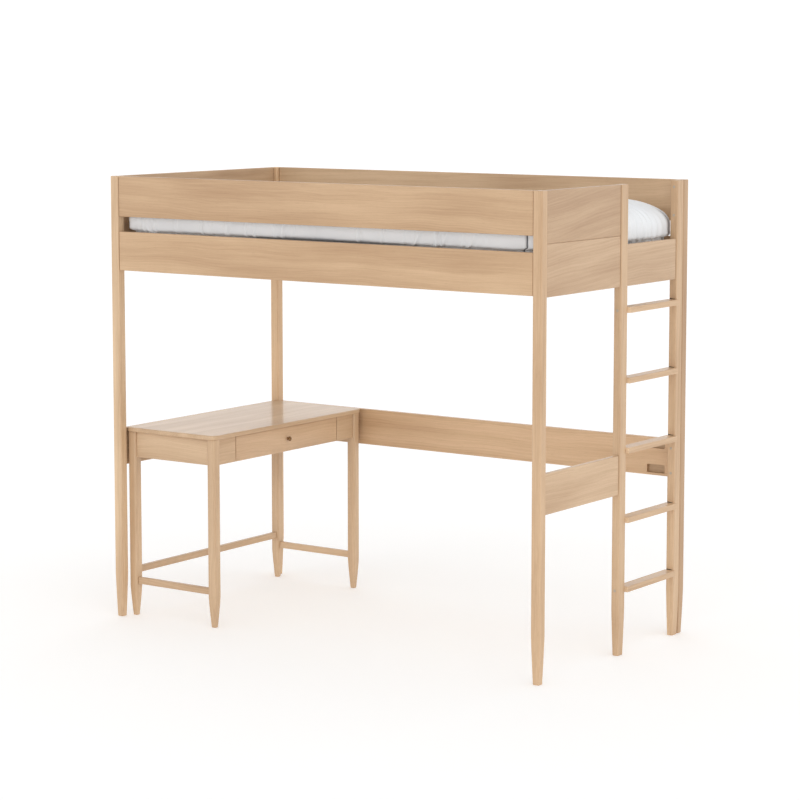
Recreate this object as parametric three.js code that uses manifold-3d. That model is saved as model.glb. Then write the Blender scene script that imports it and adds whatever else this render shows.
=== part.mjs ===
// Wooden loft bed with a built-in end ladder and a free-standing desk underneath.
// Millimetres, +Z up. +X runs from the head end to the ladder (foot) end, and +Y from the open
// front side to the back. The origin is on the floor at the centre of the overall box.
import * as THREE from 'three';
import { mergeVertices } from 'three/addons/utils/BufferGeometryUtils.js';
import Module from 'manifold-3d';

const wasm = await Module();
wasm.setup();

// ---- Bed: overall ----
const BED_LENGTH = 2030; // outside of the posts
const BED_WIDTH = 1069; // outside of the posts
const BED_HEIGHT = 1787; // top of posts and guard boards

// ---- Bed: posts and ladder ----
const POST_SIZE = 39;
const POST_EDGE_RADIUS = 6;
const POST_FOOT_HEIGHT = 178; // the tapered length of a foot
const POST_FOOT_RATIO = 0.69; // foot width at the floor over full width
const LADDER_RAIL_DEPTH = 32.5; // along X
const LADDER_RAIL_WIDTH = 48; // along Y
const LADDER_RAIL_EDGE_RADIUS = 4;
const LADDER_FOOT_RATIO = 0.76;
const LADDER_CLEAR_WIDTH = 374; // between the two ladder rails
const RUNG_COUNT = 5;
const RUNG_HEIGHT = 22;
const RUNG_DEPTH = 48;
const RUNG_PROUD = 12; // beyond the outer face of the ladder rails
const FIRST_RUNG_BOTTOM = 241;
const TOP_RUNG_DROP = 100; // from the underside of the foot gap rail to the underside of the top rung

// ---- Bed: boards ----
const BOARD_THICKNESS = 20;
const BOARD_RECESS = 4; // board faces sit behind the post faces
const GUARD_HEIGHT = 161;
const GUARD_GAP = 60; // open slot between guard board and side rail
const SIDE_RAIL_HEIGHT = 155;
const END_BOARD_HEIGHT = 191; // two of these close each end
const GAP_RAIL_HEIGHT = 156.5; // the low rail that the ladder leads over
const LOW_RAIL_HEIGHT = 150;
const LOW_RAIL_BOTTOM = 619.5;

// ---- Bed: bolt pockets in the back low rail ----
const POCKET_LENGTH = 80;
const POCKET_HEIGHT = 33;
const POCKET_DEPTH = 12;
const POCKET_CORNER_RADIUS = 5;
const POCKET_END_MARGIN = 39; // from the post to the pocket
const POCKET_CENTRE_MARGIN = 26; // from a long edge of the rail to the pocket's centre

// ---- Bed: mattress support ----
const LEDGER_HEIGHT = 30;
const LEDGER_DEPTH = 30;
const LEDGER_RISE = 9; // above the underside of the side rails
const SLAT_COUNT = 10;
const SLAT_WIDTH = 70;
const SLAT_THICKNESS = 20;
const SLAT_END_CLEARANCE = 2;
const SLAT_FIRST_MARGIN = 30; // from the head posts to the first slat, and the same at the foot
const MATTRESS_THICKNESS = 250;
const MATTRESS_END_GAP = 7; // to the posts at the head and foot
const MATTRESS_SIDE_GAP = 18; // to the boards at the front and back
const MATTRESS_CORNER_RADIUS = 45;
const MATTRESS_EDGE_ROUND = 55; // height of the rounded top and bottom edges
const MATTRESS_EDGE_INSET = 40; // how far those edges pull in
const SOFT_SEAT_GAP = 0.3; // between the mattress and the slats

// ---- Desk: overall ----
const DESK_HEIGHT = 774;
const DESK_DEPTH = 467; // along X
const DESK_POST_CLEARANCE = 1; // to the bed posts, along Y
const DESK_RAIL_CLEARANCE = 2; // to the head low rail, along X
const DESK_TOP_THICKNESS = 18;
const DESK_TOP_CORNER_RADIUS = 30;
const DESK_TOP_OVERHANG = 8.5; // beyond the outer faces of the legs

// ---- Desk: frame ----
const DESK_LEG_SIZE = 39;
const DESK_LEG_EDGE_RADIUS = 9;
const DESK_FOOT_HEIGHT = 124;
const DESK_FOOT_RATIO = 0.52;
const APRON_HEIGHT = 104;
const APRON_THICKNESS = 18;
const APRON_RECESS = 9.5; // behind the outer faces of the legs
const STILE_WIDTH = 108;
const STRETCHER_HEIGHT = 27;
const STRETCHER_THICKNESS = 20;
const SIDE_STRETCHER_BOTTOM = 131;
const REAR_STRETCHER_BOTTOM = 174;

// ---- Desk: drawer and runners ----
const DRAWER_FRONT_GAP = 3.5; // to the stiles and the desktop
const DRAWER_STOP_CLEARANCE = 1; // drawer front to the runners' front ends
const DRAWER_REAR_CLEARANCE = 26; // drawer box to the rear apron
const DRAWER_TOP_CLEARANCE = 12; // drawer box to the desktop
const DRAWER_BOX_RISE = 12; // box above the underside of the drawer front
const DRAWER_BOX_INSET = 18; // box sides behind the ends of the drawer front
const DRAWER_SIDE_THICKNESS = 12;
const DRAWER_BACK_DROP = 10; // drawer back below the sides' top edge
const DRAWER_BOTTOM_THICKNESS = 6;
const DRAWER_BOTTOM_RISE = 4;
const RUNNER_SLIDE_CLEARANCE = 0.3; // under the drawer sides
const RUNNER_SIDE_CLEARANCE = 2; // beside the drawer sides
const RUNNER_FOOT_THICKNESS = 8;
const RUNNER_HEIGHT = 44;
const RUNNER_LAP = 20; // behind the stile
const RUNNER_FOOT_REACH = 16; // under the drawer sides

// ---- Desk: drawer knob ----
const KNOB_LENGTH = 16; // from the drawer front to the dome
const KNOB_HEAD_RADIUS = 9.5;
const KNOB_RIM_RADIUS = 8; // where the head meets its underside
const KNOB_NECK_RADIUS = 4.5;
const KNOB_BASE_RADIUS = 6; // flared against the drawer front
const KNOB_FLARE_LENGTH = 2.5;
const KNOB_NECK_LENGTH = 6.5;
const KNOB_SWELL_LENGTH = 4; // from the neck to the widest part of the head
const KNOB_SHOULDER_DROP = 2.5; // from the dome to the head's outer edge
const KNOB_CROWN_RADIUS = 6.5;
const KNOB_CROWN_DROP = 0.8;

// ---- Materials ----
const finish = (color, roughness, metalness = 0) => () => new THREE.MeshStandardMaterial({
  color, roughness, metalness,
});
const bedWood = finish(0xd2b18a, 0.5);
const deskWood = finish(0xd4b48e, 0.35);
const innerWood = finish(0xdcc6a4, 0.7);
const sheetFabric = finish(0xf1f2f4, 0.95);
const antiqueBrass = finish(0x94693a, 0.35, 0.9);

// ---- Shapes ----

// A rounded rectangle centred on the origin.
function roundedRectangle(sizeX, sizeY, radius) {
  const x = sizeX / 2;
  const y = sizeY / 2;
  const shape = new THREE.Shape();
  shape.moveTo(-x + radius, -y);
  shape.lineTo(x - radius, -y);
  shape.absarc(x - radius, -y + radius, radius, -Math.PI / 2, 0, false);
  shape.lineTo(x, y - radius);
  shape.absarc(x - radius, y - radius, radius, 0, Math.PI / 2, false);
  shape.lineTo(-x + radius, y);
  shape.absarc(-x + radius, y - radius, radius, Math.PI / 2, Math.PI, false);
  shape.lineTo(-x, -y + radius);
  shape.absarc(-x + radius, -y + radius, radius, Math.PI, 1.5 * Math.PI, false);
  return shape;
}

function mesh(name, geometry, material) {
  const part = new THREE.Mesh(geometry, material);
  part.name = name;
  return part;
}

// The two ends of a span of a given length, from its low end or up to its high end.
const spanFrom = (low, length) => [low, low + length];
const spanTo = (high, length) => [high - length, high];

// A board or bar given by its two ends along each axis.
function board(name, [x0, x1], [y0, y1], [z0, z1], material) {
  const part = mesh(name, new THREE.BoxGeometry(x1 - x0, y1 - y0, z1 - z0), material);
  part.position.set((x0 + x1) / 2, (y0 + y1) / 2, (z0 + z1) / 2);
  return part;
}

// An upright with rounded edges whose foot tapers evenly about its own axis.
function upright(name, [x0, x1], [y0, y1], height, radius, footHeight, footRatio, material) {
  const geometry = new THREE.ExtrudeGeometry(roundedRectangle(x1 - x0, y1 - y0, radius), {
    depth: height,
    steps: 2,
    bevelEnabled: false,
    curveSegments: 4,
  });
  const points = geometry.attributes.position;
  for (let i = 0; i < points.count; i += 1) {
    const z = points.getZ(i);
    const atFloor = z < height / 4;
    const atTop = z > (3 * height) / 4;
    if (atFloor) {
      points.setXYZ(i, points.getX(i) * footRatio, points.getY(i) * footRatio, 0);
    } else if (!atTop) {
      points.setZ(i, footHeight);
    }
  }
  geometry.computeVertexNormals();
  const part = mesh(name, geometry, material);
  part.position.set((x0 + x1) / 2, (y0 + y1) / 2, 0);
  return part;
}

// A profile in the YZ plane drawn out along X between two ends.
function profileAlongX(name, outline, [x0, x1], material) {
  const shape = new THREE.Shape(outline.map(([y, z]) => new THREE.Vector2(y, z)));
  const geometry = new THREE.ExtrudeGeometry(shape, { depth: x1 - x0, bevelEnabled: false });
  geometry.applyMatrix4(new THREE.Matrix4().makeBasis(
    new THREE.Vector3(0, 1, 0), new THREE.Vector3(0, 0, 1), new THREE.Vector3(1, 0, 0)));
  const part = mesh(name, geometry, material);
  part.position.x = x0;
  return part;
}

// A three.js geometry as a manifold solid, and back.
function toSolid(geometry) {
  const plain = geometry.clone();
  plain.deleteAttribute('normal');
  plain.deleteAttribute('uv');
  const merged = mergeVertices(plain, 1e-4);
  return new wasm.Manifold(new wasm.Mesh({
    numProp: 3,
    vertProperties: new Float32Array(merged.attributes.position.array),
    triVerts: new Uint32Array(merged.index.array),
  }));
}

function toGeometry(solid) {
  const cut = solid.getMesh();
  const geometry = new THREE.BufferGeometry();
  geometry.setAttribute('position', new THREE.BufferAttribute(cut.vertProperties, 3));
  geometry.setIndex(new THREE.BufferAttribute(cut.triVerts, 1));
  geometry.computeVertexNormals();
  return geometry;
}

// ---- Bed: where things stand ----
const headPosts = [0, POST_SIZE];
const footPosts = [BED_LENGTH - POST_SIZE, BED_LENGTH];
const frontPosts = [0, POST_SIZE];
const backPosts = [BED_WIDTH - POST_SIZE, BED_WIDTH];

const betweenPostsX = [headPosts[1], footPosts[0]];
const betweenPostsY = [frontPosts[1], backPosts[0]];
const frontBoards = spanFrom(BOARD_RECESS, BOARD_THICKNESS);
const backBoards = spanTo(BED_WIDTH - BOARD_RECESS, BOARD_THICKNESS);
const headBoards = spanFrom(BOARD_RECESS, BOARD_THICKNESS);
const footBoards = spanTo(BED_LENGTH - BOARD_RECESS, BOARD_THICKNESS);

const guardZ = [BED_HEIGHT - GUARD_HEIGHT, BED_HEIGHT];
const sideRailTop = guardZ[0] - GUARD_GAP;
const sideRailZ = [sideRailTop - SIDE_RAIL_HEIGHT, sideRailTop];
const upperEndZ = [BED_HEIGHT - END_BOARD_HEIGHT, BED_HEIGHT];
const lowerEndZ = [upperEndZ[0] - END_BOARD_HEIGHT, upperEndZ[0]];
const gapRailZ = [lowerEndZ[0], lowerEndZ[0] + GAP_RAIL_HEIGHT];
const lowRailZ = [LOW_RAIL_BOTTOM, LOW_RAIL_BOTTOM + LOW_RAIL_HEIGHT];

const ladderRailX = [BED_LENGTH - LADDER_RAIL_DEPTH, BED_LENGTH];
const outerLadderRail = [backPosts[0] - LADDER_RAIL_WIDTH, backPosts[0]];
const ladderGap = [outerLadderRail[0] - LADDER_CLEAR_WIDTH, outerLadderRail[0]];
const innerLadderRail = [ladderGap[0] - LADDER_RAIL_WIDTH, ladderGap[0]];
const firstFootBay = [frontPosts[1], innerLadderRail[0]];

function makePosts() {
  const post = (name, x, y) => upright(
    name, x, y, BED_HEIGHT, POST_EDGE_RADIUS, POST_FOOT_HEIGHT, POST_FOOT_RATIO, bedWood());
  return [
    post('post_head_front', headPosts, frontPosts),
    post('post_head_back', headPosts, backPosts),
    post('post_foot_front', footPosts, frontPosts),
    post('post_foot_back', footPosts, backPosts),
  ];
}

function makeLadder() {
  const rail = (name, y) => upright(
    name, ladderRailX, y, BED_HEIGHT,
    LADDER_RAIL_EDGE_RADIUS, POST_FOOT_HEIGHT, LADDER_FOOT_RATIO, bedWood());
  const parts = [
    rail('ladder_rail_inner', innerLadderRail),
    rail('ladder_rail_outer', outerLadderRail),
  ];
  const topRungBottom = gapRailZ[0] - TOP_RUNG_DROP;
  const pitch = (topRungBottom - FIRST_RUNG_BOTTOM) / (RUNG_COUNT - 1);
  const rungX = spanTo(BED_LENGTH + RUNG_PROUD, RUNG_DEPTH);
  for (let i = 0; i < RUNG_COUNT; i += 1) {
    const rungZ = spanFrom(FIRST_RUNG_BOTTOM + i * pitch, RUNG_HEIGHT);
    parts.push(board(`ladder_rung_${i + 1}`, rungX, ladderGap, rungZ, bedWood()));
  }
  return parts;
}

function makeUpperBoards() {
  return [
    board('guard_front', betweenPostsX, frontBoards, guardZ, bedWood()),
    board('side_rail_front', betweenPostsX, frontBoards, sideRailZ, bedWood()),
    board('guard_back', betweenPostsX, backBoards, guardZ, bedWood()),
    board('side_rail_back', betweenPostsX, backBoards, sideRailZ, bedWood()),
    board('head_panel_upper', headBoards, betweenPostsY, upperEndZ, bedWood()),
    board('head_panel_lower', headBoards, betweenPostsY, lowerEndZ, bedWood()),
    board('foot_panel_upper', footBoards, firstFootBay, upperEndZ, bedWood()),
    board('foot_panel_lower', footBoards, firstFootBay, lowerEndZ, bedWood()),
    board('foot_gap_rail', footBoards, ladderGap, gapRailZ, bedWood()),
  ];
}

// The back low rail has a blind bolt pocket near each corner of its inner face.
function makeBackLowRail() {
  const rail = board('low_rail_back', betweenPostsX, backBoards, lowRailZ, bedWood());
  const endMargin = POCKET_END_MARGIN + POCKET_LENGTH / 2;
  const pocketX = [betweenPostsX[0] + endMargin, betweenPostsX[1] - endMargin];
  const pocketZ = [lowRailZ[0] + POCKET_CENTRE_MARGIN, lowRailZ[1] - POCKET_CENTRE_MARGIN];
  const outline = roundedRectangle(POCKET_LENGTH, POCKET_HEIGHT, POCKET_CORNER_RADIUS);
  const pocket = new THREE.ExtrudeGeometry(outline, {
    depth: 2 * POCKET_DEPTH, bevelEnabled: false, curveSegments: 4,
  });
  pocket.rotateX(Math.PI / 2);
  rail.updateMatrix();
  let solid = toSolid(rail.geometry.clone().applyMatrix4(rail.matrix));
  for (const x of pocketX) {
    for (const z of pocketZ) {
      const cutter = pocket.clone().translate(x, backBoards[0] + POCKET_DEPTH, z);
      solid = solid.subtract(toSolid(cutter));
    }
  }
  return mesh('low_rail_back', toGeometry(solid), bedWood());
}

function makeLowRails() {
  return [
    makeBackLowRail(),
    board('low_rail_head', headBoards, betweenPostsY, lowRailZ, bedWood()),
    board('low_rail_foot', footBoards, firstFootBay, lowRailZ, bedWood()),
  ];
}

const ledgerZ = [sideRailZ[0] + LEDGER_RISE, sideRailZ[0] + LEDGER_RISE + LEDGER_HEIGHT];
const slatZ = [ledgerZ[1], ledgerZ[1] + SLAT_THICKNESS];

function makeSlatBase() {
  const frontLedgerY = spanFrom(frontBoards[1], LEDGER_DEPTH);
  const backLedgerY = spanTo(backBoards[0], LEDGER_DEPTH);
  const parts = [
    board('slat_ledger_front', betweenPostsX, frontLedgerY, ledgerZ, innerWood()),
    board('slat_ledger_back', betweenPostsX, backLedgerY, ledgerZ, innerWood()),
  ];
  const slatY = [frontBoards[1] + SLAT_END_CLEARANCE, backBoards[0] - SLAT_END_CLEARANCE];
  const firstX = betweenPostsX[0] + SLAT_FIRST_MARGIN;
  const lastX = betweenPostsX[1] - SLAT_FIRST_MARGIN - SLAT_WIDTH;
  const pitch = (lastX - firstX) / (SLAT_COUNT - 1);
  for (let i = 0; i < SLAT_COUNT; i += 1) {
    const slatX = spanFrom(firstX + i * pitch, SLAT_WIDTH);
    parts.push(board(`slat_${i + 1}`, slatX, slatY, slatZ, innerWood()));
  }
  return parts;
}

// The mattress fills the space between the posts and the boards, with rounded edges.
function makeMattress() {
  const x = [betweenPostsX[0] + MATTRESS_END_GAP, betweenPostsX[1] - MATTRESS_END_GAP];
  const y = [frontBoards[1] + MATTRESS_SIDE_GAP, backBoards[0] - MATTRESS_SIDE_GAP];
  const inset = 2 * MATTRESS_EDGE_INSET;
  const outline = roundedRectangle(
    x[1] - x[0] - inset, y[1] - y[0] - inset, MATTRESS_CORNER_RADIUS - MATTRESS_EDGE_INSET / 2);
  const geometry = new THREE.ExtrudeGeometry(outline, {
    depth: MATTRESS_THICKNESS - 2 * MATTRESS_EDGE_ROUND,
    bevelEnabled: true,
    bevelThickness: MATTRESS_EDGE_ROUND,
    bevelSize: MATTRESS_EDGE_INSET,
    bevelSegments: 5,
    curveSegments: 5,
  });
  const part = mesh('mattress', geometry, sheetFabric());
  part.position.set((x[0] + x[1]) / 2, (y[0] + y[1]) / 2, slatZ[1] + SOFT_SEAT_GAP + MATTRESS_EDGE_ROUND);
  return part;
}

// ---- Desk: where things stand ----
const deskX = spanFrom(headBoards[1] + DESK_RAIL_CLEARANCE, DESK_DEPTH);
const deskY = [betweenPostsY[0] + DESK_POST_CLEARANCE, betweenPostsY[1] - DESK_POST_CLEARANCE];
const deskTopZ = [DESK_HEIGHT - DESK_TOP_THICKNESS, DESK_HEIGHT];
const apronZ = [deskTopZ[0] - APRON_HEIGHT, deskTopZ[0]];

const rearLegs = spanFrom(deskX[0] + DESK_TOP_OVERHANG, DESK_LEG_SIZE);
const frontLegs = spanTo(deskX[1] - DESK_TOP_OVERHANG, DESK_LEG_SIZE);
const leftLegs = spanFrom(deskY[0] + DESK_TOP_OVERHANG, DESK_LEG_SIZE);
const rightLegs = spanTo(deskY[1] - DESK_TOP_OVERHANG, DESK_LEG_SIZE);
const betweenLegsX = [rearLegs[1], frontLegs[0]];
const betweenLegsY = [leftLegs[1], rightLegs[0]];
const rearApronX = spanFrom(rearLegs[0] + APRON_RECESS, APRON_THICKNESS);
const frontApronX = spanTo(frontLegs[1] - APRON_RECESS, APRON_THICKNESS);

// A bar of the given thickness centred between the two ends of a leg.
function centredOn([a, b], thickness) {
  return [(a + b - thickness) / 2, (a + b + thickness) / 2];
}

function makeDeskTop() {
  const outline = roundedRectangle(deskX[1] - deskX[0], deskY[1] - deskY[0], DESK_TOP_CORNER_RADIUS);
  const geometry = new THREE.ExtrudeGeometry(outline, {
    depth: DESK_TOP_THICKNESS, bevelEnabled: false, curveSegments: 8,
  });
  const part = mesh('desk_top', geometry, deskWood());
  part.position.set((deskX[0] + deskX[1]) / 2, (deskY[0] + deskY[1]) / 2, deskTopZ[0]);
  return part;
}

function makeDeskFrame() {
  const leg = (name, x, y) => upright(
    name, x, y, deskTopZ[0], DESK_LEG_EDGE_RADIUS, DESK_FOOT_HEIGHT, DESK_FOOT_RATIO, deskWood());
  const leftApronY = spanFrom(leftLegs[0] + APRON_RECESS, APRON_THICKNESS);
  const rightApronY = spanTo(rightLegs[1] - APRON_RECESS, APRON_THICKNESS);
  const leftStileY = spanFrom(betweenLegsY[0], STILE_WIDTH);
  const rightStileY = spanTo(betweenLegsY[1], STILE_WIDTH);
  const leftStretcherY = centredOn(leftLegs, STRETCHER_THICKNESS);
  const rightStretcherY = centredOn(rightLegs, STRETCHER_THICKNESS);
  const rearStretcherX = centredOn(rearLegs, STRETCHER_THICKNESS);
  const sideStretcherZ = spanFrom(SIDE_STRETCHER_BOTTOM, STRETCHER_HEIGHT);
  const rearStretcherZ = spanFrom(REAR_STRETCHER_BOTTOM, STRETCHER_HEIGHT);
  return [
    leg('desk_leg_rear_left', rearLegs, leftLegs),
    leg('desk_leg_rear_right', rearLegs, rightLegs),
    leg('desk_leg_front_left', frontLegs, leftLegs),
    leg('desk_leg_front_right', frontLegs, rightLegs),
    board('desk_apron_left', betweenLegsX, leftApronY, apronZ, deskWood()),
    board('desk_apron_right', betweenLegsX, rightApronY, apronZ, deskWood()),
    board('desk_apron_rear', rearApronX, betweenLegsY, apronZ, deskWood()),
    board('desk_stile_left', frontApronX, leftStileY, apronZ, deskWood()),
    board('desk_stile_right', frontApronX, rightStileY, apronZ, deskWood()),
    board('desk_stretcher_left', betweenLegsX, leftStretcherY, sideStretcherZ, deskWood()),
    board('desk_stretcher_right', betweenLegsX, rightStretcherY, sideStretcherZ, deskWood()),
    board('desk_stretcher_rear', rearStretcherX, betweenLegsY, rearStretcherZ, deskWood()),
  ];
}

// ---- Drawer: where things stand ----
const drawerFrontY = [
  betweenLegsY[0] + STILE_WIDTH + DRAWER_FRONT_GAP, betweenLegsY[1] - STILE_WIDTH - DRAWER_FRONT_GAP];
const drawerFrontX = [frontApronX[0] + DRAWER_STOP_CLEARANCE, frontApronX[1]];
const drawerFrontZ = [apronZ[0], apronZ[1] - DRAWER_FRONT_GAP];
const drawerBoxX = [rearApronX[1] + DRAWER_REAR_CLEARANCE, drawerFrontX[0]];
const drawerBoxY = [drawerFrontY[0] + DRAWER_BOX_INSET, drawerFrontY[1] - DRAWER_BOX_INSET];
const drawerBoxZ = [drawerFrontZ[0] + DRAWER_BOX_RISE, apronZ[1] - DRAWER_TOP_CLEARANCE];

// Each runner is an L: a web behind the stile beside the drawer, and a foot under the drawer side.
function makeRunners() {
  const runner = (name, stileEdge, boxSide, inward) => {
    const web = boxSide - inward * RUNNER_SIDE_CLEARANCE;
    const outside = stileEdge - inward * RUNNER_LAP;
    const toe = web + inward * RUNNER_FOOT_REACH;
    const footTop = drawerBoxZ[0] - RUNNER_SLIDE_CLEARANCE;
    const footBottom = footTop - RUNNER_FOOT_THICKNESS;
    const top = footBottom + RUNNER_HEIGHT;
    const outline = [
      [outside, footBottom], [toe, footBottom], [toe, footTop],
      [web, footTop], [web, top], [outside, top],
    ];
    return profileAlongX(name, outline, [rearApronX[1], frontApronX[0]], innerWood());
  };
  return [
    runner('drawer_runner_left', betweenLegsY[0] + STILE_WIDTH, drawerBoxY[0], 1),
    runner('drawer_runner_right', betweenLegsY[1] - STILE_WIDTH, drawerBoxY[1], -1),
  ];
}

// A turned knob: a slim neck that swells into a flat-domed head, with its axis along +X.
function makeKnob() {
  const profile = [
    [0, 0],
    [KNOB_BASE_RADIUS, 0],
    [KNOB_NECK_RADIUS, KNOB_FLARE_LENGTH],
    [KNOB_NECK_RADIUS, KNOB_NECK_LENGTH],
    [KNOB_RIM_RADIUS, KNOB_NECK_LENGTH + KNOB_SWELL_LENGTH / 2],
    [KNOB_HEAD_RADIUS, KNOB_NECK_LENGTH + KNOB_SWELL_LENGTH],
    [KNOB_HEAD_RADIUS, KNOB_LENGTH - KNOB_SHOULDER_DROP],
    [KNOB_CROWN_RADIUS, KNOB_LENGTH - KNOB_CROWN_DROP],
    [0, KNOB_LENGTH],
  ].map(([r, h]) => new THREE.Vector2(r, h));
  const geometry = new THREE.LatheGeometry(profile, 24);
  geometry.rotateZ(-Math.PI / 2);
  const part = mesh('drawer_knob', geometry, antiqueBrass());
  part.position.set(
    drawerFrontX[1], (drawerFrontY[0] + drawerFrontY[1]) / 2, (apronZ[0] + apronZ[1]) / 2);
  return part;
}

function makeDrawer() {
  const leftSide = spanFrom(drawerBoxY[0], DRAWER_SIDE_THICKNESS);
  const rightSide = spanTo(drawerBoxY[1], DRAWER_SIDE_THICKNESS);
  const insideY = [leftSide[1], rightSide[0]];
  const backX = spanFrom(drawerBoxX[0], DRAWER_SIDE_THICKNESS);
  const bottomZ = spanFrom(drawerBoxZ[0] + DRAWER_BOTTOM_RISE, DRAWER_BOTTOM_THICKNESS);
  const backZ = [bottomZ[0], drawerBoxZ[1] - DRAWER_BACK_DROP];
  return [
    board('drawer_front', drawerFrontX, drawerFrontY, drawerFrontZ, deskWood()),
    board('drawer_side_left', drawerBoxX, leftSide, drawerBoxZ, innerWood()),
    board('drawer_side_right', drawerBoxX, rightSide, drawerBoxZ, innerWood()),
    board('drawer_back', backX, insideY, backZ, innerWood()),
    board('drawer_bottom', [backX[1], drawerBoxX[1]], insideY, bottomZ, innerWood()),
    makeKnob(),
  ];
}

// ---- Assembly ----
const bed = new THREE.Group();
bed.add(...makePosts(), ...makeLadder(), ...makeUpperBoards(), ...makeLowRails());
bed.add(...makeSlatBase(), makeMattress());

const drawer = new THREE.Group();
drawer.add(...makeDrawer());

const desk = new THREE.Group();
desk.add(makeDeskTop(), ...makeDeskFrame(), ...makeRunners(), drawer);

const loftBed = new THREE.Group();
loftBed.add(bed, desk);
loftBed.position.set(-(BED_LENGTH + RUNG_PROUD) / 2, -BED_WIDTH / 2, 0);

export default loftBed;
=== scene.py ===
"""Looks for the wooden loft bed with a desk underneath.

Metres, +Z up. +X runs from the head end to the ladder end and +Y from the open front to the
back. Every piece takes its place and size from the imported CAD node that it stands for.
"""

import math

import bmesh
import bpy
import numpy as np
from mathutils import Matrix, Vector


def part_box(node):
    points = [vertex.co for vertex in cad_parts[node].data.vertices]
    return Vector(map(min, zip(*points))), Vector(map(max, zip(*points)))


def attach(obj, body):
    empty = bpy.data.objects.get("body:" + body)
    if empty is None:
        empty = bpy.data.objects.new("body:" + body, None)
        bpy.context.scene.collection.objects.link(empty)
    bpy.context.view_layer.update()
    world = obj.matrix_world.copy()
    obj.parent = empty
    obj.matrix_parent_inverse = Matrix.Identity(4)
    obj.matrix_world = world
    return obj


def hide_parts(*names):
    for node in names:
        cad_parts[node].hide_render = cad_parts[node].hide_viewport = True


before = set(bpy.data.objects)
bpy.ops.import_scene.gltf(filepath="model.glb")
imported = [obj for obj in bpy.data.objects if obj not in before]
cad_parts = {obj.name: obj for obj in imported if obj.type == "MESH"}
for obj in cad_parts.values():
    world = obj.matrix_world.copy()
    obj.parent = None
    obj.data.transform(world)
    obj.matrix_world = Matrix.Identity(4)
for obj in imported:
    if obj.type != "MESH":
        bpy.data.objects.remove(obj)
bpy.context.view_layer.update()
RANDOM = np.random.default_rng(11)

FRAME_BODY = "frame"
DRAWER_BODY = "drawer"

# ---- Camera, light and floor ----
CAMERA_PLACE = Vector((5.737, -8.105, 2.243))
CAMERA_AZIMUTH = math.radians(35.21)
CAMERA_DIP = math.radians(6.40)  # below the horizon
CAMERA_LENS = 113.6
CAMERA_SHIFT = -0.07
WORLD_STRENGTH = 1.5
WALL_TO_CEILING = ((0.0, 1.0), (0.25, 0.85), (0.6, 0.48), (1.0, 0.34))  # (sine of height, shade)
FLOOR_SIZE = 400.0
FLOOR_WHITE = (0.93, 0.93, 0.93, 1)
FLOOR_GLOW = 0.20  # a lit white sweep, so that almost no shadow shows
SOFTBOX_ANGLE = math.radians(70)
SOFTBOXES = {  # where each stands, and how strong it is
    "key": ((0.4, -1.0, 0.9), 0.34),
    "end_fill": ((1.0, -0.1, 0.8), 0.24),
    "back_fill": ((-0.7, 1.0, 1.0), 0.24),
}

# ---- Wood ----
RINGS_PER_METRE = 110
GRAIN_SWING = 0.060  # how far the figure wanders across a board
MEAN_BLEND = 1.54  # puts the average of the grain's layers between the two tones
PORE_BROWN = (0.27, 0.155, 0.08, 1)
BOARD_EDGE_RADIUS = 0.0022
PANEL_EDGE_RADIUS = 0.0030
FRAME_EDGE_RADIUS = 0.0015  # slats, ledgers and drawer runners
DRAWER_BOX_EDGE_RADIUS = 0.001
DESK_TOP_EDGE_RADIUS = 0.004
STRETCHER_EDGE_RADIUS = 0.003
POCKET_EDGE_RADIUS = 0.0008
RUNG_EDGE_RADIUS = 0.0012
SHADOW_GAP = 0.0016  # between a board's end and the post that it meets
EDGE_STEPS = 3  # in each rounded edge
WELD_DISTANCE = 1e-5
POST_CORNER_RADIUS = 0.006
POST_FOOT_RATIO = 0.69  # of the width at the floor to the width above the foot
LADDER_CORNER_RADIUS = 0.005
LADDER_FOOT_RATIO = 0.76
BED_FOOT_HEIGHT = 0.178  # of the part that narrows
DESK_LEG_CORNER_RADIUS = 0.009
DESK_LEG_FOOT_RATIO = 0.52
DESK_FOOT_HEIGHT = 0.124
FOOT_STATIONS = 14
UPRIGHT_CORNER_STEPS = 6
UPRIGHT_TIP_RADIUS = 0.0025  # at the top, and at the floor

# ---- Small fittings ----
KNOB_PROFILE = (  # shares of the knob's radius and of its length, from the drawer front out
    (0.63, 0.0),
    (0.50, 0.10),
    (0.42, 0.40),
    (0.80, 0.50),
    (1.0, 0.64),
    (0.97, 0.84),
    (0.66, 0.96),
    (0.05, 1.0),
)
PLUG_RADIUS = 0.0055
PLUG_DOME = 0.0012
PLUG_SUNK = 0.001
PLUG_STEPS = 28
PLUG_TO_BOARD_EDGE = 0.026
# A thin black strip over each rung at the outer rail stands for the contact shadow there: painted
# shade.
SHADE_STRIP_HEIGHT = 0.004
SHADE_STRIP_PROUD = 0.0008
SHADE_STRIP_DEPTH = 0.002  # into the rail
SHADE_STRIP_REAR_MARGIN = 0.004
SHADE_STRIP_FRONT_MARGIN = 0.006

# ---- Mattress, from its underside to the middle of its top ----
CORE_DEPTH = 0.013  # from the sheet's outermost line in to the mattress, under every seam
CORE_PITCH = 0.014
TUCK_WIDTH = 0.110  # how far the sheet reaches under the mattress
LOWER_EDGE = 0.030  # radius of the mattress's lower edge
WAIST_INSET = 0.015  # the sheet is drawn in between the rails, and swells out over them
WAIST_TOP = 0.0965  # height of the swelling's underside over the mattress's bottom
SWELL_RISE = 0.0130
CROWN_INSET = 0.140  # width of the rounded upper edge
CROWN_DROP = 0.104  # and its height
TUCK_STATIONS = 5
BEND_STATIONS = 8  # in the lower edge, and in the swelling
WAIST_STATIONS = 3
SIDE_STATIONS = 5  # of the upright part below the crown
CROWN_STATIONS = 18
TOP_STATIONS = 17
TOP_STRIP = 0.018  # half the width of the strip that closes the top, along its middle
TOP_RISE = 0.004  # of the flat top, from its edge to its middle
CORNER_RADIUS = 0.024  # in plan, at the mattress's widest
CORNER_SPREAD = 0.55  # growth of that radius with the distance drawn in
QUILT_PITCH = 0.11

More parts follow.
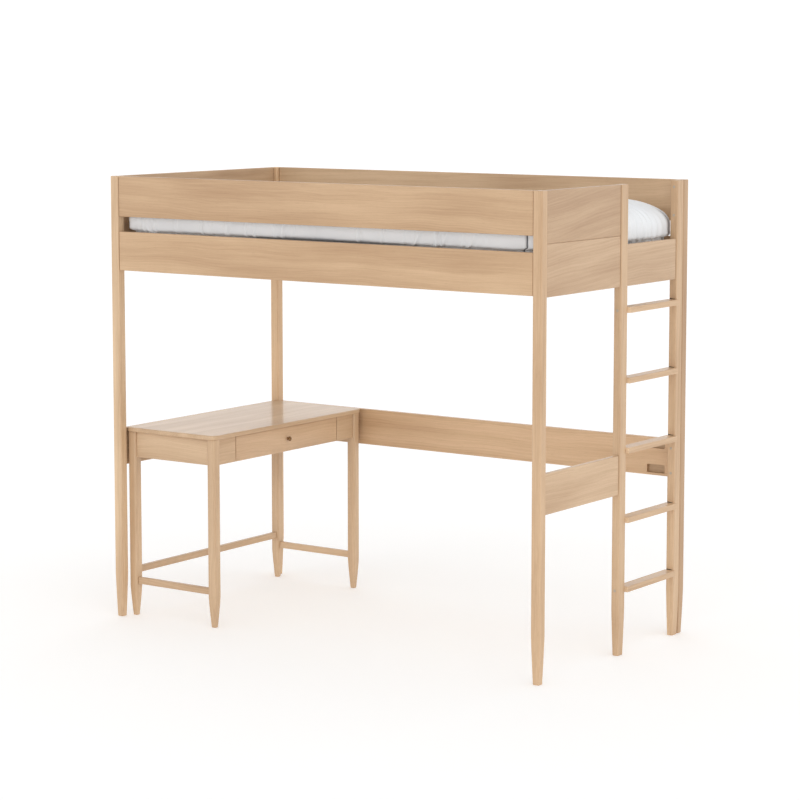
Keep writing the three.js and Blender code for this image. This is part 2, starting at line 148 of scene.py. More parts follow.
# ---- Fitted sheet ----
COLUMN_PITCH = 0.0045
THREADS_PER_METRE = 1400
SHEET_PAINTED_SHADE = (0.10, 0.11, 0.13, 1)  # painted shade, down in a seam and under the swelling between the rails
WAIST_PAINTED_SHADE = 0.75  # strength of the painted shade on the cloth under its swelling, between the rails
SEAM_MARGIN = 0.020  # from a corner's rounding to the sheet's corner seam
SEAM_DEPTH = 0.007
SEAM_HALF_WIDTH = 0.0036
SEAM_COLUMN_STEP = 0.0015
SEAM_COLUMNS = np.array([-2.5, -1.5, -0.75, 0, 0.75, 1.5, 2.5])
CORNER_SEAM_SHARE = 0.02  # of a corner, for the two seams that start a corner
CORNER_SEAM_STEP = 0.04
WAVE_LENGTH = 0.22
WAVE_HEIGHT = 0.0018
RIPPLE_LENGTH = 0.09
RIPPLE_HEIGHT = 0.0005
FOLD_COUNT = 120
SLANTING_FOLDS = (0.73, 0.79, 0.85)  # shares of the way round to the foot end

# Levels on the sheet, measured along it from its hem.
FOLD_FOOT = 0.18  # the foot end's folds start here
TUCK_LEVEL = 0.188  # below this the sheet lies smooth
SHADE_LEVEL = 0.196  # below this it is shaded
FLAT_LEVEL = 0.36  # above this it waves as on the flat top
SEAM_TOP = 0.40
SETTLED_LEVEL = 0.45  # above this the simulated swellings fade out

# ---- Cloth simulation ----
CLOTH_PITCH = 0.016  # between the columns of the coarse sheet that the simulation settles
CLOTH_FRAMES = 4
CLOTH_QUALITY = 4
CLOTH_PRESSURE = 4.0
CLOTH_HEM_ROWS = 8
CLOTH_REACH = 0.0030  # the most that the simulation may move the sheet
CLOTH_INWARD = 0.3  # share of that reach by which the whole sheet is drawn in
CLOTH_SPAN = 0.30  # swellings wider than this are left out, as the foam holds its shape


# ---------------------------------------------------------------- nodes


def fill_ramp(node, stops):
    """Sets a colour ramp's stops, from its lowest to its highest: (position, grey or colour)."""
    elements = node.color_ramp.elements
    while len(elements) < len(stops):
        elements.new(0.5)
    for element, (position, value) in zip(elements, stops):
        element.position = position
        element.color = (*value, 1) if isinstance(value, tuple) else (value, value, value, 1)
    return node.outputs["Color"]


class Nodes:
    """A short way to write a material's node tree."""

    def __init__(self, name):
        self.material = bpy.data.materials.new(name)
        self.material.use_nodes = True
        self.tree = self.material.node_tree
        self.shader = self.tree.nodes["Principled BSDF"]

    def add(self, kind, inputs=None, **settings):
        node = self.tree.nodes.new(kind)
        for key, value in settings.items():
            setattr(node, key, value)
        for key, value in (inputs or {}).items():
            self.feed(node.inputs[key], value)
        return node

    def feed(self, socket, value):
        """Links another node's output to the socket, or sets the socket to a plain value."""
        if isinstance(value, bpy.types.NodeSocket):
            self.tree.links.new(value, socket)
        else:
            socket.default_value = value

    def math(self, operation, a, b=0.0):
        node = self.add("ShaderNodeMath", {0: a, 1: b}, operation=operation)
        return node.outputs[0]

    def scaled(self, vector, factors):
        node = self.add("ShaderNodeVectorMath", {0: vector, 1: factors}, operation="MULTIPLY")
        return node.outputs[0]

    def noise(self, vector, detail=2.0, roughness=0.5):
        node = self.add(
            "ShaderNodeTexNoise",
            {"Vector": vector, "Scale": 1.0, "Detail": detail, "Roughness": roughness},
        )
        return node.outputs["Fac"]

    def ramp(self, factor, stops):
        return fill_ramp(self.add("ShaderNodeValToRGB", {"Fac": factor}), stops)

    def mix(self, factor, a, b, blend="MIX"):
        node = self.add("ShaderNodeMix", data_type="RGBA", blend_type=blend)
        for number, value in ((0, factor), (6, a), (7, b)):  # the sockets for colours
            self.feed(node.inputs[number], value)
        return node.outputs[2]

    def bump(self, height, distance, strength=1.0):
        node = self.add(
            "ShaderNodeBump", {"Height": height, "Distance": distance, "Strength": strength}
        )
        self.tree.links.new(node.outputs["Normal"], self.shader.inputs["Normal"])

    def attribute(self, name, output="Vector"):
        return self.add("ShaderNodeAttribute", attribute_name=name).outputs[output]

    def set(self, **values):
        """Feeds the surface shader's inputs, written with _ for each space."""
        for key, value in values.items():
            self.feed(self.shader.inputs[key.replace("_", " ")], value)


def oak(name, pale, warm, ring_depth, roughness, coat, coat_roughness):
    """Oak under a satin lacquer. The grain attribute runs in metres: along the board, then
    across its face, then through its thickness, with the tree's heart as the zero line."""
    n = Nodes(name)
    grain = n.attribute("grain")
    tone = n.attribute("tone", "Color")

    # The whole figure swings slowly from side to side along the board.
    swing = n.math("SUBTRACT", n.noise(n.scaled(grain, (2.2, 3.5, 3.5)), 2.0), 0.5)
    swing = n.add("ShaderNodeCombineXYZ", {"Y": n.math("MULTIPLY", swing, GRAIN_SWING)}).outputs[0]
    figure = n.add("ShaderNodeVectorMath", {0: grain, 1: swing}, operation="ADD").outputs[0]

    # Growth rings round the heart.
    shake = n.noise(n.scaled(figure, (4.0, 45.0, 45.0)), 2.0)
    parts = n.add("ShaderNodeSeparateXYZ", {0: figure}).outputs
    across_squared = n.math("MULTIPLY", parts[1], parts[1])
    through_squared = n.math("MULTIPLY", parts[2], parts[2])
    radius = n.math("SQRT", n.math("ADD", across_squared, through_squared))
    radius = n.math("ADD", radius, n.math("MULTIPLY", shake, 0.0060))
    ring = n.math("FRACT", n.math("MULTIPLY", radius, RINGS_PER_METRE))
    ring = n.ramp(ring, [(0.0, 0.45), (0.2, 0.15), (0.5, 0.30), (0.86, 0.85), (1.0, 0.45)])

    # Fibres, pores and slow changes of colour.
    fibres = n.noise(n.scaled(grain, (7.0, 420.0, 420.0)), 3.0, 0.6)
    streaks = n.noise(n.scaled(figure, (2.0, 190.0, 190.0)), 3.0, 0.6)
    bands = n.noise(n.scaled(figure, (1.1, 22.0, 22.0)), 2.0)
    pores = n.noise(n.scaled(grain, (38.0, 1150.0, 1150.0)), 1.0)
    clouds = n.noise(n.scaled(grain, (1.8, 6.0, 6.0)), 2.0)
    pores = n.ramp(pores, [(0.60, 0.0), (0.72, 1.0)])

    blend = n.math("MULTIPLY", ring, ring_depth)
    for layer, weight in ((streaks, 0.75), (fibres, 0.75), (bands, 1.25), (clouds, 1.10)):
        blend = n.math("ADD", blend, n.math("MULTIPLY", layer, weight))
    blend = n.math("SUBTRACT", blend, MEAN_BLEND + 0.4 * ring_depth)
    colour = n.ramp(blend, [(0.0, pale), (1.0, warm)])
    colour = n.mix(n.math("MULTIPLY", pores, 0.22), colour, PORE_BROWN)
    # The tone attribute multiplies in each piece's colour, with the painted light and shade on
    # some posts, rung ends and pocket floors.
    colour = n.mix(1.0, colour, tone, "MULTIPLY")

    height = n.math("SUBTRACT", n.math("MULTIPLY", fibres, 0.5), n.math("MULTIPLY", pores, 0.8))
    n.bump(height, 0.00012, 0.5)
    gloss = n.math("ADD", n.math("MULTIPLY", fibres, 0.10), roughness - 0.05)
    n.set(
        Base_Color=colour,
        Roughness=gloss,
        Specular_IOR_Level=0.5,
        Coat_Weight=coat,
        Coat_Roughness=coat_roughness,
    )
    return n.material


def cotton(name):
    """Smooth white cotton: a fine plain weave on the cloth's own lines. The weave attribute
    runs round the mattress, up its side, and from 0 to 1 into painted shade in a seam and under
    the swelling."""
    n = Nodes(name)
    weave = n.attribute("weave")
    parts = n.add("ShaderNodeSeparateXYZ", {0: weave}).outputs
    warp = n.math("SINE", n.math("MULTIPLY", parts[0], 2 * math.pi * THREADS_PER_METRE))
    weft = n.math("SINE", n.math("MULTIPLY", parts[1], 2 * math.pi * THREADS_PER_METRE))
    threads = n.math("MULTIPLY", warp, weft)
    slubs = n.noise(n.scaled(weave, (60.0, 900.0, 1.0)), 2.0)
    clouds = n.noise(n.scaled(weave, (5.0, 5.0, 1.0)), 2.0)
    colour = n.ramp(clouds, [(0.3, (0.755, 0.77, 0.79)), (0.7, (0.815, 0.83, 0.845))])
    colour = n.mix(n.math("MULTIPLY", slubs, 0.08), colour, (0.66, 0.67, 0.69, 1))
    # Painted shade: the cloth goes grey down in its seams and under its swelling between the
    # rails.
    colour = n.mix(n.math("MULTIPLY", parts[2], 0.95), colour, SHEET_PAINTED_SHADE)
    height = n.math("ADD", n.math("MULTIPLY", threads, 0.5), n.math("MULTIPLY", slubs, 0.9))
    n.bump(height, 0.00010, 0.5)
    n.set(
        Base_Color=colour,
        Roughness=0.88,
        Specular_IOR_Level=0.3,
        Sheen_Weight=0.25,
        Sheen_Roughness=0.5,
    )
    return n.material


def ticking(name):
    """The mattress's own knitted cover, quilted in a diamond pattern, with painted shade in its
    valleys.
    """
    n = Nodes(name)
    place = n.add("ShaderNodeTexCoord").outputs["Object"]
    parts = n.add("ShaderNodeSeparateXYZ", {0: place}).outputs
    rate = math.pi / QUILT_PITCH
    one = n.math("SINE", n.math("MULTIPLY", n.math("ADD", parts[0], parts[1]), rate))
    two = n.math("SINE", n.math("MULTIPLY", n.math("SUBTRACT", parts[0], parts[1]), rate))
    puff = n.math("POWER", n.math("ABSOLUTE", n.math("MULTIPLY", one, two)), 0.4)
    knit = n.noise(n.scaled(place, (900.0, 900.0, 900.0)), 1.0)
    # Painted shade: the cover is darker down in the quilting's valleys, where the bump sinks.
    colour = n.ramp(puff, [(0.0, (0.58, 0.57, 0.54)), (0.5, (0.76, 0.75, 0.72))])
    n.bump(n.math("ADD", n.math("MULTIPLY", puff, 6.0), n.math("MULTIPLY", knit, 0.3)), 0.0006)
    n.set(Base_Color=colour, Roughness=0.92, Sheen_Weight=0.3)
    return n.material


def antique_brass(name):
    """Brass with an uneven brown patina."""
    n = Nodes(name)
    place = n.add("ShaderNodeTexCoord").outputs["Object"]
    patina = n.noise(n.scaled(place, (260.0, 260.0, 260.0)), 4.0)
    colour = n.ramp(patina, [(0.35, (0.13, 0.07, 0.035)), (0.65, (0.42, 0.25, 0.12))])
    gloss = n.ramp(patina, [(0.3, 0.5), (0.7, 0.28)])
    n.bump(patina, 0.0001, 0.4)
    n.set(Base_Color=colour, Roughness=gloss, Metallic=1.0)
    return n.material


def moulded(name, shade, roughness):
    """A small moulded piece with a fine, slightly worn surface."""
    n = Nodes(name)
    place = n.add("ShaderNodeTexCoord").outputs["Object"]
    spots = n.noise(n.scaled(place, (900.0, 900.0, 900.0)), 2.0)
    dark = tuple(0.8 * value for value in shade)
    n.bump(spots, 0.00008, 0.4)
    n.set(Base_Color=n.ramp(spots, [(0.3, dark), (0.7, shade)]), Roughness=roughness)
    return n.material


BED_OAK = oak("bed_oak", (0.650, 0.448, 0.272), (0.452, 0.276, 0.148), 0.20, 0.50, 0.22, 0.22)
DESK_OAK = oak("desk_oak", (0.640, 0.446, 0.275), (0.450, 0.280, 0.154), 0.18, 0.55, 0.36, 0.14)
INNER_WOOD = oak("inner_wood", (0.700, 0.550, 0.385), (0.560, 0.405, 0.255), 0.5, 0.65, 0.0, 0.5)
COTTON = cotton("sheet_cotton")
TICKING = ticking("mattress_ticking")
BRASS = antique_brass("antique_brass")
PLUG = moulded("bolt_plug", (0.47, 0.39, 0.30), 0.75)
# Painted shade: the black of the strips that stand for the shadow over each rung at the outer
# rail.
SHADE_STRIP_BLACK = moulded("painted_shadow_black", (0.035, 0.030, 0.026), 0.7)

VENEER = (0.90, 0.87, 0.84)  # the wide boards are a little deeper in colour than the posts
END_VENEER = (0.87, 0.86, 0.87)
PIECE_TONES_AND_PAINTED_LIGHT = {
    "guard_front": VENEER,
    "side_rail_front": (0.94, 0.915, 0.885),
    "guard_back": (0.96, 0.97, 0.98),
    "side_rail_back": VENEER,
    "head_panel_upper": END_VENEER,
    "head_panel_lower": END_VENEER,
    "foot_panel_upper": (0.83, 0.81, 0.81),
    "foot_panel_lower": (0.91, 0.91, 0.93),
    "foot_gap_rail": (0.88, 0.88, 0.90),
    "low_rail_foot": (0.95, 0.96, 0.98),
    "low_rail_back": (1.02, 1.00, 0.98),
    "drawer_front": (0.99, 0.96, 0.94),
    # Three posts carry painted light and shade: the back foot post is darkened where the ladder
    # rail shades it, and the two head posts are lightened where the desk and the bed shade them.
    "post_foot_back": (0.79, 0.74, 0.70),
    "post_head_front": (1.14, 1.20, 1.26),
    "post_head_back": (1.18, 1.18, 1.16),
    "post_foot_front": (1.04, 1.04, 1.04),
}
PLAIN_TONE = (1.0, 1.0, 1.0)
POCKET_BARE_WOOD_AND_SHADE = (0.74, 0.73, 0.70)  # pocket floors: bare wood, and painted shade in the recess
# The rung ends are painted paler: painted light against the shade beside the ladder rail, and
# against the darker figure of their end grain.
RUNG_END_PAINTED_LIGHT = (1.38, 1.55, 1.75)  # painted light on the rung ends

GRAIN_TILT = {"foot_panel_upper": -0.11, "foot_panel_lower": -0.09, "foot_gap_rail": -0.06}

OAK_OF_SLOT = {"bed_wood": BED_OAK, "desk_wood": DESK_OAK, "inner_wood": INNER_WOOD}


# ---------------------------------------------------------------- mesh helpers


def new_object(name, mesh, material, body, smooth=True):
    """Puts a mesh in the scene as a piece that moves with one of the bodies."""
    mesh.materials.clear()
    mesh.materials.append(material)
    mesh.polygons.foreach_set("use_smooth", [smooth] * len(mesh.polygons))
    piece = bpy.data.objects.new(name, mesh)
    bpy.context.scene.collection.objects.link(piece)
    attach(piece, body)
    return piece


def even_shading(piece):
    """Keeps wide flat faces flat in shade, next to small rounded edges."""
    modifier = piece.modifiers.new("even_shading", "WEIGHTED_NORMAL")
    modifier.mode = "FACE_AREA"
    modifier.weight = 80
    modifier.keep_sharp = True


def mesh_of_rings(name, rings):
    """A closed mesh through rings of points that all have the same count, from end to end."""
    count = len(rings[0])
    here = np.arange(count)
    after = (here + 1) % count
    faces = []
    for row in range(len(rings) - 1):
        low = row * count
        high = low + count
        faces.extend(np.stack([low + here, low + after, high + after, high + here], 1).tolist())
    faces.append(here[::-1].tolist())
    faces.append((here + (len(rings) - 1) * count).tolist())
    mesh = bpy.data.meshes.new(name)
    mesh.from_pydata(np.concatenate(rings).tolist(), [], faces)
    return mesh


def add_vectors(mesh, name, values):
    attribute = mesh.attributes.new(name, "FLOAT_VECTOR", "POINT")
    attribute.data.foreach_set("vector", np.asarray(values, np.float32).ravel())


def points_of(mesh):
    """The mesh's points, one per row."""
    flat = np.zeros(len(mesh.vertices) * 3, np.float32)
    mesh.vertices.foreach_get("co", flat)
    return flat.reshape(-1, 3).astype(float)


def cut_from_a_tree(mesh, node):
    """Gives a wooden piece its own place in a log, and its own tone, with painted light and shade
    on a few pieces.
    """
    low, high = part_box(node)
    size = np.array(high - low)
    along, across, through = np.argsort(-size, kind="stable")
    centre = np.array((low + high) / 2)
    points = points_of(mesh) - centre
    heart = RANDOM.uniform(0.040, 0.100)
    offset = [RANDOM.uniform(0, 40), RANDOM.uniform(-0.10, 0.10), heart]
    grain = points[:, [along, across, through]]
    tilt = RANDOM.normal(0, 0.02)  # the grain is never quite straight
    grain[:, 1] += GRAIN_TILT.get(node, tilt) * grain[:, 0]
    grain += offset
    add_vectors(mesh, "grain", grain)
    # Each piece's colour; on three posts it carries painted light and shade.
    shade = np.array(PIECE_TONES_AND_PAINTED_LIGHT.get(node, PLAIN_TONE)) * (1.0 + RANDOM.normal(0, 0.012))
    tone = np.tile(shade, (len(points), 1))
    if node == "low_rail_back":  # the pockets go in from its front face, but not through
        depth = points[:, through]
        pocket_floor = (depth > -0.4 * size[through]) & (depth < 0.25 * size[through])
        # The pocket floors are darkened: bare wood, and painted shade in the recess.
        tone[pocket_floor] *= POCKET_BARE_WOOD_AND_SHADE
    # The rung ends are painted paler: painted light against the shade beside the ladder rail.
    if node.startswith("ladder_rung"):
        ends = np.abs(points[:, along]) > size[along] / 2 - RUNG_EDGE_RADIUS / 2
        tone[ends] *= RUNG_END_PAINTED_LIGHT
    add_vectors(mesh, "tone", tone)


# ---------------------------------------------------------------- wooden pieces


def finish_wood(mesh, node, slot, body):
    """Gives a wooden piece its grain and makes it stand for its CAD node."""
    cut_from_a_tree(mesh, node)
    piece = new_object(node + "_oak", mesh, OAK_OF_SLOT[slot], body)
    even_shading(piece)
    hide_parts(node)


def softened(node, slot, radius, body=FRAME_BODY, end_gap=0.0):
    """The CAD shape with its sharp edges rounded over, and its two ends cut back by end_gap."""
    shape = bmesh.new()
    shape.from_mesh(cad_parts[node].data)
    bmesh.ops.remove_doubles(shape, verts=shape.verts, dist=WELD_DISTANCE)
    bmesh.ops.dissolve_limit(
        shape, angle_limit=math.radians(1), verts=shape.verts, edges=shape.edges
    )
    low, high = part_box(node)
    along = max(range(3), key=lambda axis: high[axis] - low[axis])
    for vertex in shape.verts:
        if vertex.co[along] < low[along] + 10 * WELD_DISTANCE:
            vertex.co[along] += end_gap
        elif vertex.co[along] > high[along] - 10 * WELD_DISTANCE:
            vertex.co[along] -= end_gap
    sharp = [e for e in shape.edges if e.calc_face_angle(0) > math.radians(30)]
    bmesh.ops.bevel(
        shape,
        geom=sharp,
        offset=radius,
        segments=EDGE_STEPS,
        profile=0.5,
        affect="EDGES",
        clamp_overlap=True,
    )
    mesh = bpy.data.meshes.new(node + "_oak")
    shape.to_mesh(mesh)
    shape.free()
    finish_wood(mesh, node, slot, body)


def rounded_ring(half_x, half_y, radius, steps):
    """A rounded rectangle round the origin, as points in the plane."""
    points = []
    for corner in range(4):
        sign_x = 1 if corner in (0, 3) else -1
        sign_y = 1 if corner < 2 else -1
        for step in range(steps + 1):
            angle = math.pi / 2 * (corner + step / steps)
            x = sign_x * (half_x - radius) + radius * math.cos(angle)
            y = sign_y * (half_y - radius) + radius * math.sin(angle)
            points.append((x, y))
    return np.array(points)


def upright(node, slot, edge_radius, foot_height, foot_ratio):
    """A post whose foot narrows in a slow curve, with its two ends rounded over."""
    low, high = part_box(node)
    half = (high - low) / 2
    centre = (low + high) / 2
    height = high.z - low.z
    stations = []
    for step in range(EDGE_STEPS + 1):  # the rounded lower end
        angle = math.pi / 2 * step / EDGE_STEPS
        rise = UPRIGHT_TIP_RADIUS * (1 - math.cos(angle))
        stations.append((rise, foot_ratio, UPRIGHT_TIP_RADIUS * (1 - math.sin(angle))))
    for step in range(1, FOOT_STATIONS + 1):
        share = step / FOOT_STATIONS
        ease = 0.7 * share + 0.3 * math.sin(share * math.pi / 2)
        rise = UPRIGHT_TIP_RADIUS + share * (foot_height - UPRIGHT_TIP_RADIUS)
        stations.append((rise, foot_ratio + (1 - foot_ratio) * ease, 0))
    for step in range(EDGE_STEPS + 1):  # the rounded upper end
        angle = math.pi / 2 * step / EDGE_STEPS
        rise = height - UPRIGHT_TIP_RADIUS * (1 - math.sin(angle))
        stations.append((rise, 1, UPRIGHT_TIP_RADIUS * (1 - math.cos(angle))))
    rings = []
    for rise, ratio, inset in stations:
        half_x = half.x * ratio - inset
        half_y = half.y * ratio - inset
        radius = max(edge_radius * ratio - inset / 2, 0.001)
        flat = rounded_ring(half_x, half_y, radius, UPRIGHT_CORNER_STEPS)
        ring = np.column_stack([flat, np.full(len(flat), low.z + rise)])
        rings.append(ring + np.array((centre.x, centre.y, 0)))
    mesh = mesh_of_rings(node + "_oak", rings)
    finish_wood(mesh, node, slot, FRAME_BODY)


def make_uprights():
    for node in ("post_head_front", "post_head_back", "post_foot_front", "post_foot_back"):
        upright(node, "bed_wood", POST_CORNER_RADIUS, BED_FOOT_HEIGHT, POST_FOOT_RATIO)
    for node in ("ladder_rail_inner", "ladder_rail_outer"):
        upright(node, "bed_wood", LADDER_CORNER_RADIUS, BED_FOOT_HEIGHT, LADDER_FOOT_RATIO)
    for place in ("rear_left", "rear_right", "front_left", "front_right"):
        leg = f"desk_leg_{place}"
        upright(leg, "desk_wood", DESK_LEG_CORNER_RADIUS, DESK_FOOT_HEIGHT, DESK_LEG_FOOT_RATIO)


def make_bed_boards():
    for node in ("guard_front", "guard_back", "side_rail_front", "side_rail_back"):
        softened(node, "bed_wood", BOARD_EDGE_RADIUS, end_gap=SHADOW_GAP)
    for node in ("foot_gap_rail", "low_rail_head", "low_rail_foot"):
        softened(node, "bed_wood", BOARD_EDGE_RADIUS, end_gap=SHADOW_GAP)
    for end in ("head", "foot"):
        for level in ("upper", "lower"):
            softened(f"{end}_panel_{level}", "bed_wood", PANEL_EDGE_RADIUS, end_gap=SHADOW_GAP)
    for rung in range(1, 6):
        softened(f"ladder_rung_{rung}", "bed_wood", RUNG_EDGE_RADIUS)
    softened("low_rail_back", "bed_wood", POCKET_EDGE_RADIUS)


def make_slat_base():
    for side in ("front", "back"):
        softened(f"slat_ledger_{side}", "inner_wood", FRAME_EDGE_RADIUS)
    for slat in range(1, 11):
        softened(f"slat_{slat}", "inner_wood", FRAME_EDGE_RADIUS)


def make_desk():
    softened("desk_top", "desk_wood", DESK_TOP_EDGE_RADIUS)
    for part in ("apron_left", "apron_right", "apron_rear", "stile_left", "stile_right"):
        softened(f"desk_{part}", "desk_wood", BOARD_EDGE_RADIUS)
    for side in ("left", "right", "rear"):
        softened(f"desk_stretcher_{side}", "desk_wood", STRETCHER_EDGE_RADIUS)
    for side in ("left", "right"):
        softened(f"drawer_runner_{side}", "inner_wood", FRAME_EDGE_RADIUS)


def make_drawer():
    softened("drawer_front", "desk_wood", BOARD_EDGE_RADIUS, DRAWER_BODY)
    for part in ("side_left", "side_right", "back", "bottom"):
        softened(f"drawer_{part}", "inner_wood", DRAWER_BOX_EDGE_RADIUS, DRAWER_BODY)


# ---------------------------------------------------------------- turned and small pieces


def turned(name, profile, origin, axis, steps=40):
    """A mesh turned about an axis: profile lists (radius, distance along the axis)."""
    axis = Vector(axis).normalized()
    side = axis.orthogonal().normalized()
    other = axis.cross(side)
    rings = []
    for radius, distance in profile:
        centre = Vector(origin) + axis * float(distance)
        ring = []
        for step in range(steps):
            angle = 2 * math.pi * step / steps
            spoke = math.cos(angle) * side + math.sin(angle) * other
            ring.append(centre + float(radius) * spoke)
        rings.append(np.array(ring))
    return mesh_of_rings(name, rings)


def rounded_profile(corners, steps=5, reach=0.35):
    """Rounds the corners of a turned profile: each corner becomes a short curve."""
    corners = [np.array(c, float) for c in corners]
    out = [corners[0]]
    for before, corner, after in zip(corners, corners[1:], corners[2:]):
        start = corner + (before - corner) * reach
        end = corner + (after - corner) * reach
        for step in range(steps + 1):
            t = step / steps
            out.append((1 - t) ** 2 * start + 2 * t * (1 - t) * corner + t * t * end)
    out.append(corners[-1])
    return out


def make_knob():
    """The drawer's turned knob, along +X."""
    low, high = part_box("drawer_knob")
    length = high.x - low.x
    head = (high.y - low.y) / 2
    profile = rounded_profile([(radius * head, out * length) for radius, out in KNOB_PROFILE])
    origin = (low.x, (low.y + high.y) / 2, (low.z + high.z) / 2)
    mesh = turned("knob", profile, origin, (1, 0, 0))
    knob = new_object("drawer_knob_brass", mesh, BRASS, DRAWER_BODY)
    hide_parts("drawer_knob")


def bolt_plug(name, rail, height):
    """A domed plug over a bolt in a ladder rail, on the rail's front side."""
    low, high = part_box(rail)
    origin = ((low.x + high.x) / 2, low.y, height)
    profile = rounded_profile(
        [
            (PLUG_RADIUS, -PLUG_SUNK),
            (PLUG_RADIUS, 0.4 * PLUG_DOME),
            (0.75 * PLUG_RADIUS, PLUG_DOME),
            (0.1 * PLUG_RADIUS, PLUG_DOME),
        ]
    )
    mesh = turned(name, profile, origin, (0, -1, 0), PLUG_STEPS)
    piece = new_object(name, mesh, PLUG, FRAME_BODY)


def make_bolt_plugs():
    """Where the inner rail holds two rungs, and the outer rail two boards."""
    for rung in (1, 5):
        low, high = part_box(f"ladder_rung_{rung}")
        bolt_plug(f"ladder_plug_inner_{rung}", "ladder_rail_inner", (low.z + high.z) / 2)
    for board in ("low_rail_back", "guard_back"):
        low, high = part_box(board)
        name = f"ladder_plug_{board}"
        bolt_plug(f"{name}_low", "ladder_rail_outer", low.z + PLUG_TO_BOARD_EDGE)
        bolt_plug(f"{name}_high", "ladder_rail_outer", high.z - PLUG_TO_BOARD_EDGE)


def make_rung_shade_strips():
    """A thin black strip over each rung at the outer rail: painted shade, for the contact shadow
    there.
    """
    rail_low, rail_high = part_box("ladder_rail_outer")
    x0 = rail_low.x + SHADE_STRIP_REAR_MARGIN
    x1 = rail_high.x - SHADE_STRIP_FRONT_MARGIN
    y0 = rail_low.y - SHADE_STRIP_PROUD
    y1 = rail_low.y + SHADE_STRIP_DEPTH
    section = [(x0, 0), (x1, 0), (x1, 0.4 * SHADE_STRIP_HEIGHT), (x0, SHADE_STRIP_HEIGHT)]
    for rung in range(1, 6):
        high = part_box(f"ladder_rung_{rung}")[1]
        rings = [np.array([(x, y, high.z + z) for x, z in section]) for y in (y1, y0)]
        mesh = mesh_of_rings(f"shadow_strip_rung_{rung}", rings)
        new_object(f"shadow_strip_rung_{rung}", mesh, SHADE_STRIP_BLACK, FRAME_BODY, smooth=False)


# ---------------------------------------------------------------- mattress and sheet


def outline(inset, q):
    """The mattress's outline drawn in by inset. q runs from 0 to 8: the front, the corner after
    it, the foot end, and so on round, each taking 1."""
    low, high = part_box("mattress")
    centre = (low + high) / 2
    half_x = (high.x - low.x) / 2 - inset
    half_y = (high.y - low.y) / 2 - inset
    radius = min(CORNER_RADIUS + CORNER_SPREAD * inset, 0.98 * half_y)
    side = np.floor(q).astype(int) % 8
    share = q - np.floor(q)
    x = np.zeros(len(q))
    y = np.zeros(len(q))
    flat_x = half_x - radius
    flat_y = half_y - radius
    straights = {
        0: ((-flat_x, -half_y), (flat_x, -half_y)),
        2: ((half_x, -flat_y), (half_x, flat_y)),
        4: ((flat_x, half_y), (-flat_x, half_y)),
        6: ((-half_x, flat_y), (-half_x, -flat_y)),
    }
    for number, (start, end) in straights.items():
        on = side == number
        x[on] = start[0] + share[on] * (end[0] - start[0])
        y[on] = start[1] + share[on] * (end[1] - start[1])
    corners = {1: (1, -1), 3: (1, 1), 5: (-1, 1), 7: (-1, -1)}
    for number, (sign_x, sign_y) in corners.items():
        on = side == number
        angle = math.pi / 2 * ((number - 1) / 2 - 1 + share[on])
        x[on] = sign_x * flat_x + radius * np.cos(angle)
        y[on] = sign_y * flat_y + radius * np.sin(angle)
    return x + centre.x, y + centre.y


def column_places(pitch, corner_steps, seams=()):
    """Outline parameters for the columns of a mattress mesh, closer together at the seams."""
    low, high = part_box("mattress")
    lengths = {0: high.x - low.x, 2: high.y - low.y, 4: high.x - low.x, 6: high.y - low.y}
    places = []
    for side in range(8):
        if side in lengths:
            length = lengths[side] - 2 * CORNER_RADIUS
            count = int(round(length / pitch))
        else:
            count = corner_steps
        places.extend(side + np.arange(count) / count)
    for seam, step in seams:
        places.extend(seam + step * SEAM_COLUMNS)
    return np.unique(np.round(np.array(places) % 8, 7))


def side_profile(skin):
    """(inset, height) from under the mattress, round its side and over to the middle of its top.
    skin is how far this surface stands inside the outermost one."""
    low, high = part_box("mattress")
    bottom = low.z + skin
    top = high.z - skin
    stations = []
    hem = WAIST_INSET + LOWER_EDGE
    for step in range(TUCK_STATIONS + 1):
        stations.append((hem + (TUCK_WIDTH - hem) * (1 - step / TUCK_STATIONS), bottom))
    for step in range(1, BEND_STATIONS + 1):
        angle = math.pi / 2 * step / BEND_STATIONS
        inset = WAIST_INSET + LOWER_EDGE * (1 - math.sin(angle))
        stations.append((inset, bottom + LOWER_EDGE * (1 - math.cos(angle))))
    for step in range(1, WAIST_STATIONS + 1):
        rise = LOWER_EDGE + (WAIST_TOP - LOWER_EDGE) * step / WAIST_STATIONS
        stations.append((WAIST_INSET, bottom + rise))
    for step in range(1, BEND_STATIONS + 1):
        angle = math.pi / 2 * step / BEND_STATIONS
        inset = WAIST_INSET * (1 - math.sin(angle))
        stations.append((inset, bottom + WAIST_TOP + SWELL_RISE * (1 - math.cos(angle))))
    side_low = bottom + WAIST_TOP + SWELL_RISE
    side_high = top - TOP_RISE - CROWN_DROP
    for step in range(1, SIDE_STATIONS + 1):
        stations.append((0.0, side_low + (side_high - side_low) * step / SIDE_STATIONS))
    for step in range(1, CROWN_STATIONS + 1):
        angle = math.pi / 2 * step / CROWN_STATIONS
        inset = CROWN_INSET * (1 - math.cos(angle))
        stations.append((inset, side_high + CROWN_DROP * math.sin(angle)))
    last = (high.y - low.y) / 2 - TOP_STRIP
    for step in range(1, TOP_STATIONS + 1):
        share = step / TOP_STATIONS
        inset = CROWN_INSET + (last - CROWN_INSET) * share
        stations.append((inset, top - TOP_RISE * (1 - share) ** 2))
    return [(inset + skin, z) for inset, z in stations]


def mattress_grid(q, profile):
    """Points as an array: a row for each profile station, a column for each q."""
    rows = []
    for inset, z in profile:
        x, y = outline(inset, q)
        rows.append(np.column_stack([x, y, np.full(len(q), z)]))
    return np.array(rows)


def grid_normals(grid):
    """The outward direction at each point."""
    across = np.roll(grid, -1, 1) - np.roll(grid, 1, 1)
    up = np.gradient(grid, axis=0)
    normals = np.cross(across, up)
    return normals / np.maximum(np.linalg.norm(normals, axis=2, keepdims=True), 1e-12)


